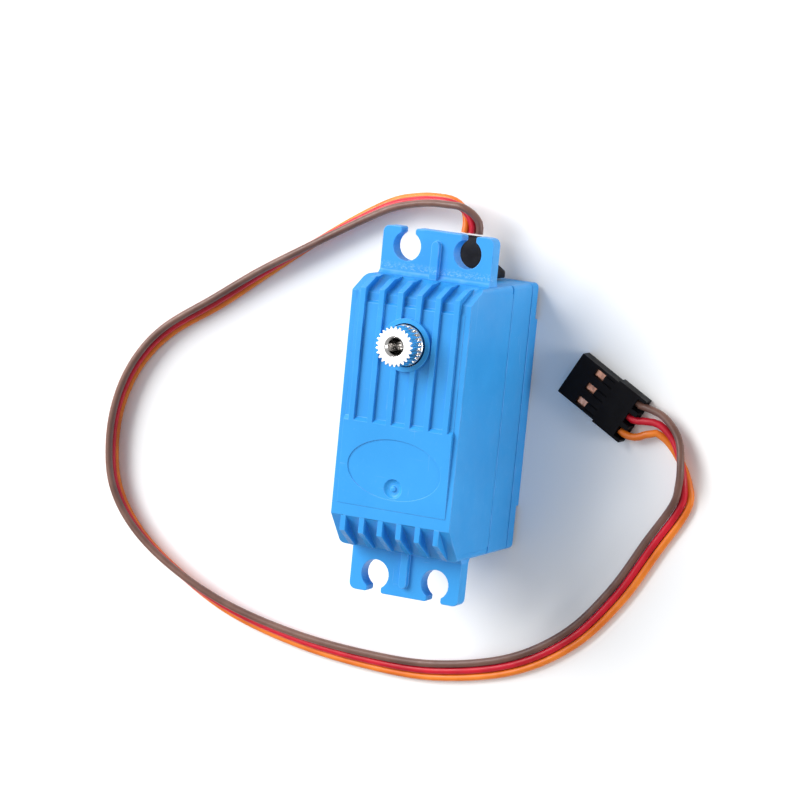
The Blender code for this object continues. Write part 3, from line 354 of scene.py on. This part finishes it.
NODE_LOOKS = {
    "blue": ("upper_case", "middle_case", "bottom_cover"),
    "zinc": ("case_screw_shaft_end_left", "case_screw_shaft_end_right",
             "case_screw_far_end_left", "case_screw_far_end_right"),
    "steel": ("gear_pin", "bearing_outer_ring", "bearing_inner_ring", "motor_can", "motor_shaft",
              "board_capacitor"),
    "shaft": ("output_shaft", "output_bushing"),
    "brass": ("first_gear", "second_gear", "third_gear", "motor_pinion"),
    "terminal": ("terminal_brown", "terminal_red", "terminal_orange"),
    "black": ("motor_end_cap", "potentiometer_body", "microcontroller", "motor_driver_left",
              "motor_driver_right"),
    "plug": ("plug_housing",),
    "white": ("potentiometer_sleeve",),
    "rubber": ("lead_boot",),
    "ferrite": ("motor_magnet_left", "motor_magnet_right"),
    "copper": ("motor_armature",),
    "board": ("control_board",),
}


def dress(obj, look):
    obj.data.materials.clear()
    obj.data.materials.append(LOOKS[look])


# ---------------------------------------------------------------- shells and other moulded pieces
def box_at(bm, low, high):
    """Add a box between two corners in millimetres."""
    middle = [0.5 * (a + b) * MM for a, b in zip(low, high)]
    size = [(b - a) * MM for a, b in zip(low, high)]
    made = bmesh.ops.create_cube(bm, size=1.0)["verts"]
    bmesh.ops.scale(bm, verts=made, vec=size)
    bmesh.ops.translate(bm, verts=made, vec=middle)


def carve(mesh, boxes, turned=None):
    """The mesh with boxes cut out of it, all of them turned by one matrix if it is given."""
    bm = bmesh.new()
    for low, high in boxes:
        box_at(bm, low, high)
    if turned is not None:
        bm.transform(turned)
    tool_mesh = bpy.data.meshes.new("tool")
    bm.to_mesh(tool_mesh)
    bm.free()
    tool = bpy.data.objects.new("tool", tool_mesh)
    body = bpy.data.objects.new("carved", mesh)
    for obj in (tool, body):
        bpy.context.scene.collection.objects.link(obj)
    cutter = body.modifiers.new("cut", "BOOLEAN")
    cutter.operation = "DIFFERENCE"
    cutter.solver = "EXACT"
    cutter.object = tool
    evaluated = body.evaluated_get(bpy.context.evaluated_depsgraph_get())
    carved = bpy.data.meshes.new_from_object(evaluated)
    bpy.data.objects.remove(body)
    bpy.data.objects.remove(tool)
    return carved


def clean(bm):
    """Weld a mesh and merge its flat triangles into whole faces."""
    bmesh.ops.remove_doubles(bm, verts=bm.verts, dist=0.002 * MM)
    bmesh.ops.dissolve_degenerate(bm, edges=bm.edges, dist=0.03 * MM)
    bmesh.ops.dissolve_limit(bm, angle_limit=radians(0.5), use_dissolve_boundaries=False,
                             verts=bm.verts, edges=bm.edges, delimit=set())


def round_edges(bm, width, steps, wanted):
    """Round the sharp edges whose middle `wanted` accepts, and mark the new faces as worn."""
    layer = bm.faces.layers.float.get("rounded_edge") or bm.faces.layers.float.new("rounded_edge")
    sharp = []
    for edge in bm.edges:
        if len(edge.link_faces) == 2 and edge.calc_face_angle() > radians(EDGE_ANGLE):
            middle = 0.5 * (edge.verts[0].co + edge.verts[1].co) / MM
            if wanted(middle):
                sharp.append(edge)
    made = bmesh.ops.bevel(bm, geom=sharp, offset=width * MM, offset_type="OFFSET", segments=steps,
                           profile=0.5, affect="EDGES", clamp_overlap=False)
    for face in made["faces"]:
        face[layer] = 1.0


def moulded(name, node, look, roundings, boxes=(), body="case", turned=None):
    """A finer copy of a CAD piece, with carved lines and rounded edges, that stands for it."""
    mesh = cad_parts[node].data.copy()
    bm = bmesh.new()
    bm.from_mesh(mesh)
    clean(bm)
    bm.to_mesh(mesh)
    bm.clear()
    if boxes:
        mesh = carve(mesh, boxes, turned)
    bm.from_mesh(mesh)
    clean(bm)
    for width, steps, wanted in roundings:
        round_edges(bm, width, steps, wanted)
    bmesh.ops.recalc_face_normals(bm, faces=bm.faces)
    bm.to_mesh(mesh)
    bm.free()
    mesh.name = name
    mesh.shade_smooth()
    mesh.set_sharp_from_angle(angle=radians(EDGE_ANGLE))
    piece = bpy.data.objects.new(name, mesh)
    bpy.context.scene.collection.objects.link(piece)
    weighted = piece.modifiers.new("flat_faces_stay_flat", "WEIGHTED_NORMAL")
    weighted.keep_sharp = True
    dress(piece, look)
    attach(piece, body)
    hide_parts(node)
    return piece


for look_name, node_names in NODE_LOOKS.items():
    for node_name in node_names:
        dress(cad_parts[node_name], look_name)


# ---------------------------------------------------------------- wires
def catmull(before, start, end, after, t):
    """One value of a smooth curve through its points."""
    return 0.5 * (2.0 * start + (end - before) * t
                  + (2.0 * before - 5.0 * start + 4.0 * end - after) * t * t
                  + (3.0 * start - before - 3.0 * end + after) * t ** 3)


def smooth_route(route):
    """A fine line of points on a smooth curve through the route's points."""
    ends = [tuple(2.0 * a - b for a, b in zip(route[0], route[1])), *route,
            tuple(2.0 * a - b for a, b in zip(route[-1], route[-2]))]
    fine = []
    for index in range(1, len(ends) - 2):
        for step in range(ROUTE_STEPS):
            fine.append([catmull(*values, step / ROUTE_STEPS)
                         for values in zip(*ends[index - 1:index + 3])])
    fine.append(list(route[-1]))
    return fine


def evenly(points, count):
    """`count` points at even distances along a fine line of points."""
    along = [0.0]
    for a, b in zip(points, points[1:]):
        along.append(along[-1] + (b - a).length)
    even = []
    index = 0
    for number in range(count):
        target = along[-1] * number / (count - 1)
        while index < len(points) - 2 and along[index + 1] < target:
            index += 1
        share = (target - along[index]) / (along[index + 1] - along[index])
        even.append(points[index].lerp(points[index + 1], share))
    return even


def wire_line(offset):
    """Centre line of one wire: the middle route moved across the ribbon by its turn."""
    middle = smooth_route(LEAD_ROUTE)
    points = []
    for index, (x, y, z, turn, pitch) in enumerate(middle):
        before = middle[max(index - 1, 0)]
        after = middle[min(index + 1, len(middle) - 1)]
        run = Vector((after[0] - before[0], after[1] - before[1], 0.0)).normalized()
        left = Vector((-run.y, run.x, 0.0))
        across = left * cos(radians(turn)) + Vector((0.0, 0.0, 1.0)) * sin(radians(turn))
        lowest = WIRE_RADIUS + TABLE_GAP + pitch * abs(sin(radians(turn)))
        points.append((Vector((x, y, max(z, lowest))) + across * offset * pitch) * MM)
    return evenly(points, WIRE_POINTS)


def make_wires():
    """The three wires of the lead, each a smooth round tube."""
    for name, offset in WIRES:
        points = wire_line(offset)
        curve = bpy.data.curves.new(f"wire_{name}", "CURVE")
        curve.dimensions = "3D"
        curve.bevel_depth = WIRE_RADIUS * MM
        curve.bevel_resolution = 4
        curve.use_fill_caps = True
        spline = curve.splines.new("POLY")
        spline.points.add(len(points) - 1)
        spline.use_smooth = True
        for target, point in zip(spline.points, points):
            target.co = (*point, 1.0)
        wire = bpy.data.objects.new(f"wire_{name}", curve)
        bpy.context.scene.collection.objects.link(wire)
        curve.materials.append(LOOKS[name])
        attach(wire, "case")
        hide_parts(f"lead_{name}")
        pieces = [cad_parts[f"terminal_{name}"]]
        if name == "red":
            pieces += [bpy.data.objects["plug"], bpy.data.objects["boot"]]


# ---------------------------------------------------------------- case
def in_hollow(point):
    """True for a point within the outline of the hollow that runs through all three shells."""
    return abs(point.x) < HOLLOW_HALF_LENGTH and abs(point.y) < HOLLOW_HALF_WIDTH


def outside_upper(point):
    return not (in_hollow(point) and point.z < HOLLOW_TOP)


def outside_middle(point):
    return not in_hollow(point)


def outside_bottom(point):
    return not (in_hollow(point) and point.z > HOLLOW_FLOOR)


def at_lug_root(point):
    low, high = LUG_ROOT_SPAN
    return abs(abs(point.x) - CASE_HALF_LENGTH) < 0.05 and low < point.z < high


def in_fine_line(point):
    """True for a point on the fine upright lines of the sides, which stay sharp."""
    return 19.4 < abs(point.x) < 19.65 and abs(point.y) > 9.7 and 10.8 < point.z < 19.5


def on_face_detail(point):
    """True for a point on the ribbed face and its end slopes, inside the outer edges."""
    inside = abs(point.y) < FACE_DETAIL_HALF_WIDTH
    return point.z > FACE_DETAIL_FROM and inside and outside_upper(point)


def on_outer_edge(point):
    """True for the upper shell's other outer edges, but not its fine lines."""
    taken = at_lug_root(point) or on_face_detail(point) or in_fine_line(point)
    return outside_upper(point) and not taken


def side_cuts():
    """Boxes that cut the fine line and the notch near each corner of the upper shell."""
    boxes = []
    for sy in (-1, 1):
        for sx in (-1, 1):
            for from_end, span, depth in ((LINE_FROM_END, LINE_SPAN, LINE_DEPTH),
                                          (NOTCH_FROM_END, NOTCH_SPAN, NOTCH_DEPTH)):
                ys = sorted((sy * (CASE_HALF_WIDTH - depth), sy * (CASE_HALF_WIDTH + CUT_BEYOND)))
                xs = sorted(sx * (CASE_HALF_LENGTH - back) for back in from_end)
                boxes.append(((xs[0], ys[0], span[0]), (xs[1], ys[1], span[1])))
    return boxes


def make_case():
    """The three shells with their moulding lines and rounded edges."""
    moulded("shell_upper", "upper_case", "blue",
            ((0.7, 4, at_lug_root), (0.12, 2, on_outer_edge), (0.05, 2, on_face_detail)),
            side_cuts())
    moulded("shell_middle", "middle_case", "blue", ((0.15, 2, outside_middle),))
    moulded("shell_bottom", "bottom_cover", "blue", ((0.15, 2, outside_bottom),))


def on_plug_outside(point):
    """True for the plug's long outer edges, not those of its windows and slots."""
    across = point.x * PLUG_SIDE[0] + point.y * PLUG_SIDE[1] - PLUG_MIDDLE
    return abs(across) > PLUG_OUTER and (point.z > PLUG_TOP - 0.1 or point.z < 0.1)


def make_plug():
    """The plug's housing, with a slit down both sides of each of its three latch tongues."""
    slits = []
    for number in (-1, 0, 1):
        for side in (-1, 1):
            middle = number * PLUG_PITCH + side * TONGUE_HALF_WIDTH
            slits.append(((middle - SLIT_HALF_WIDTH, TONGUE_SLIT[0], PLUG_TOP - SLIT_DEPTH),
                          (middle + SLIT_HALF_WIDTH, TONGUE_SLIT[1], PLUG_TOP + CUT_BEYOND)))
    turned = Matrix.Translation((PLUG_AT[0] * MM, PLUG_AT[1] * MM, 0.0)) @ Matrix((
        (PLUG_SIDE[0], -PLUG_SIDE[1], 0.0, 0.0), (PLUG_SIDE[1], PLUG_SIDE[0], 0.0, 0.0),
        (0.0, 0.0, 1.0, 0.0), (0.0, 0.0, 0.0, 1.0)))
    moulded("plug", "plug_housing", "plug", ((0.1, 2, on_plug_outside),), slits,
            turned=turned)


make_case()
moulded("boot", "lead_boot", "rubber", ((0.25, 3, lambda p: True),))
make_plug()
moulded("shaft", "output_shaft", "shaft", ((0.05, 2, lambda p: p.z > SHAFT_SHOWN_FROM),),
        body="output")
make_wires()


# ---------------------------------------------------------------- studio
def make_camera():
    data = bpy.data.cameras.new("camera")
    camera = bpy.data.objects.new("camera", data)
    bpy.context.scene.collection.objects.link(camera)
    matrix = Matrix((CAMERA_RIGHT, CAMERA_UP, CAMERA_BACK)).transposed().to_4x4()
    matrix.translation = Vector(CAMERA_AT) * MM
    camera.matrix_world = matrix
    data.sensor_width = 36.0
    data.lens = 173.0
    data.shift_x = -0.0030
    data.shift_y = -0.0044
    data.clip_start = 0.05
    data.clip_end = 20.0
    bpy.context.scene.camera = camera
    bpy.context.scene.view_settings.view_transform = "Standard"


def make_floor():
    mesh = bpy.data.meshes.new("floor")
    corners = ((-1, -1), (1, -1), (1, 1), (-1, 1))
    mesh.from_pydata([(x * FLOOR_HALF, y * FLOOR_HALF, 0.0) for x, y in corners], [], [(0, 1, 2, 3)])
    floor = bpy.data.objects.new("floor", mesh)
    bpy.context.scene.collection.objects.link(floor)
    look, tree, shader = new_look("floor_paper", Specular_IOR_Level=0.2)
    tone = remap(tree, noise(tree, place(tree), 3.0, 3.0), 0.3, 0.7)
    connect(tree, shader, mix_colour(tree, tone, (0.93, 0.93, 0.93), (0.95, 0.95, 0.95)))
    shader.inputs["Roughness"].default_value = 0.9
    mesh.materials.append(look)


def make_light(name, at, size, power):
    """A soft square lamp that faces the servo."""
    data = bpy.data.lights.new(name, "AREA")
    data.shape = "SQUARE"
    data.size = size
    data.energy = power
    lamp = bpy.data.objects.new(name, data)
    lamp.location = at
    lamp.rotation_mode = "QUATERNION"
    lamp.rotation_quaternion = (Vector(at) - Vector(LAMPS_AIM)).to_track_quat("Z", "Y")
    bpy.context.scene.collection.objects.link(lamp)


def make_world():
    world = bpy.data.worlds.new("studio")
    world.use_nodes = True
    background = world.node_tree.nodes["Background"]
    background.inputs["Color"].default_value = (1.0, 1.0, 1.0, 1.0)
    background.inputs["Strength"].default_value = WORLD_STRENGTH
    bpy.context.scene.world = world


make_camera()
make_floor()
make_light("key", (0.5, 0.8, 0.78), 0.9, 22.5)
make_light("card", (-0.16, 0.52, 1.12), 0.8, 2.1)
make_light("low_fill", (0.05, -1.1, 0.26), 0.4, 5.2)
make_world()
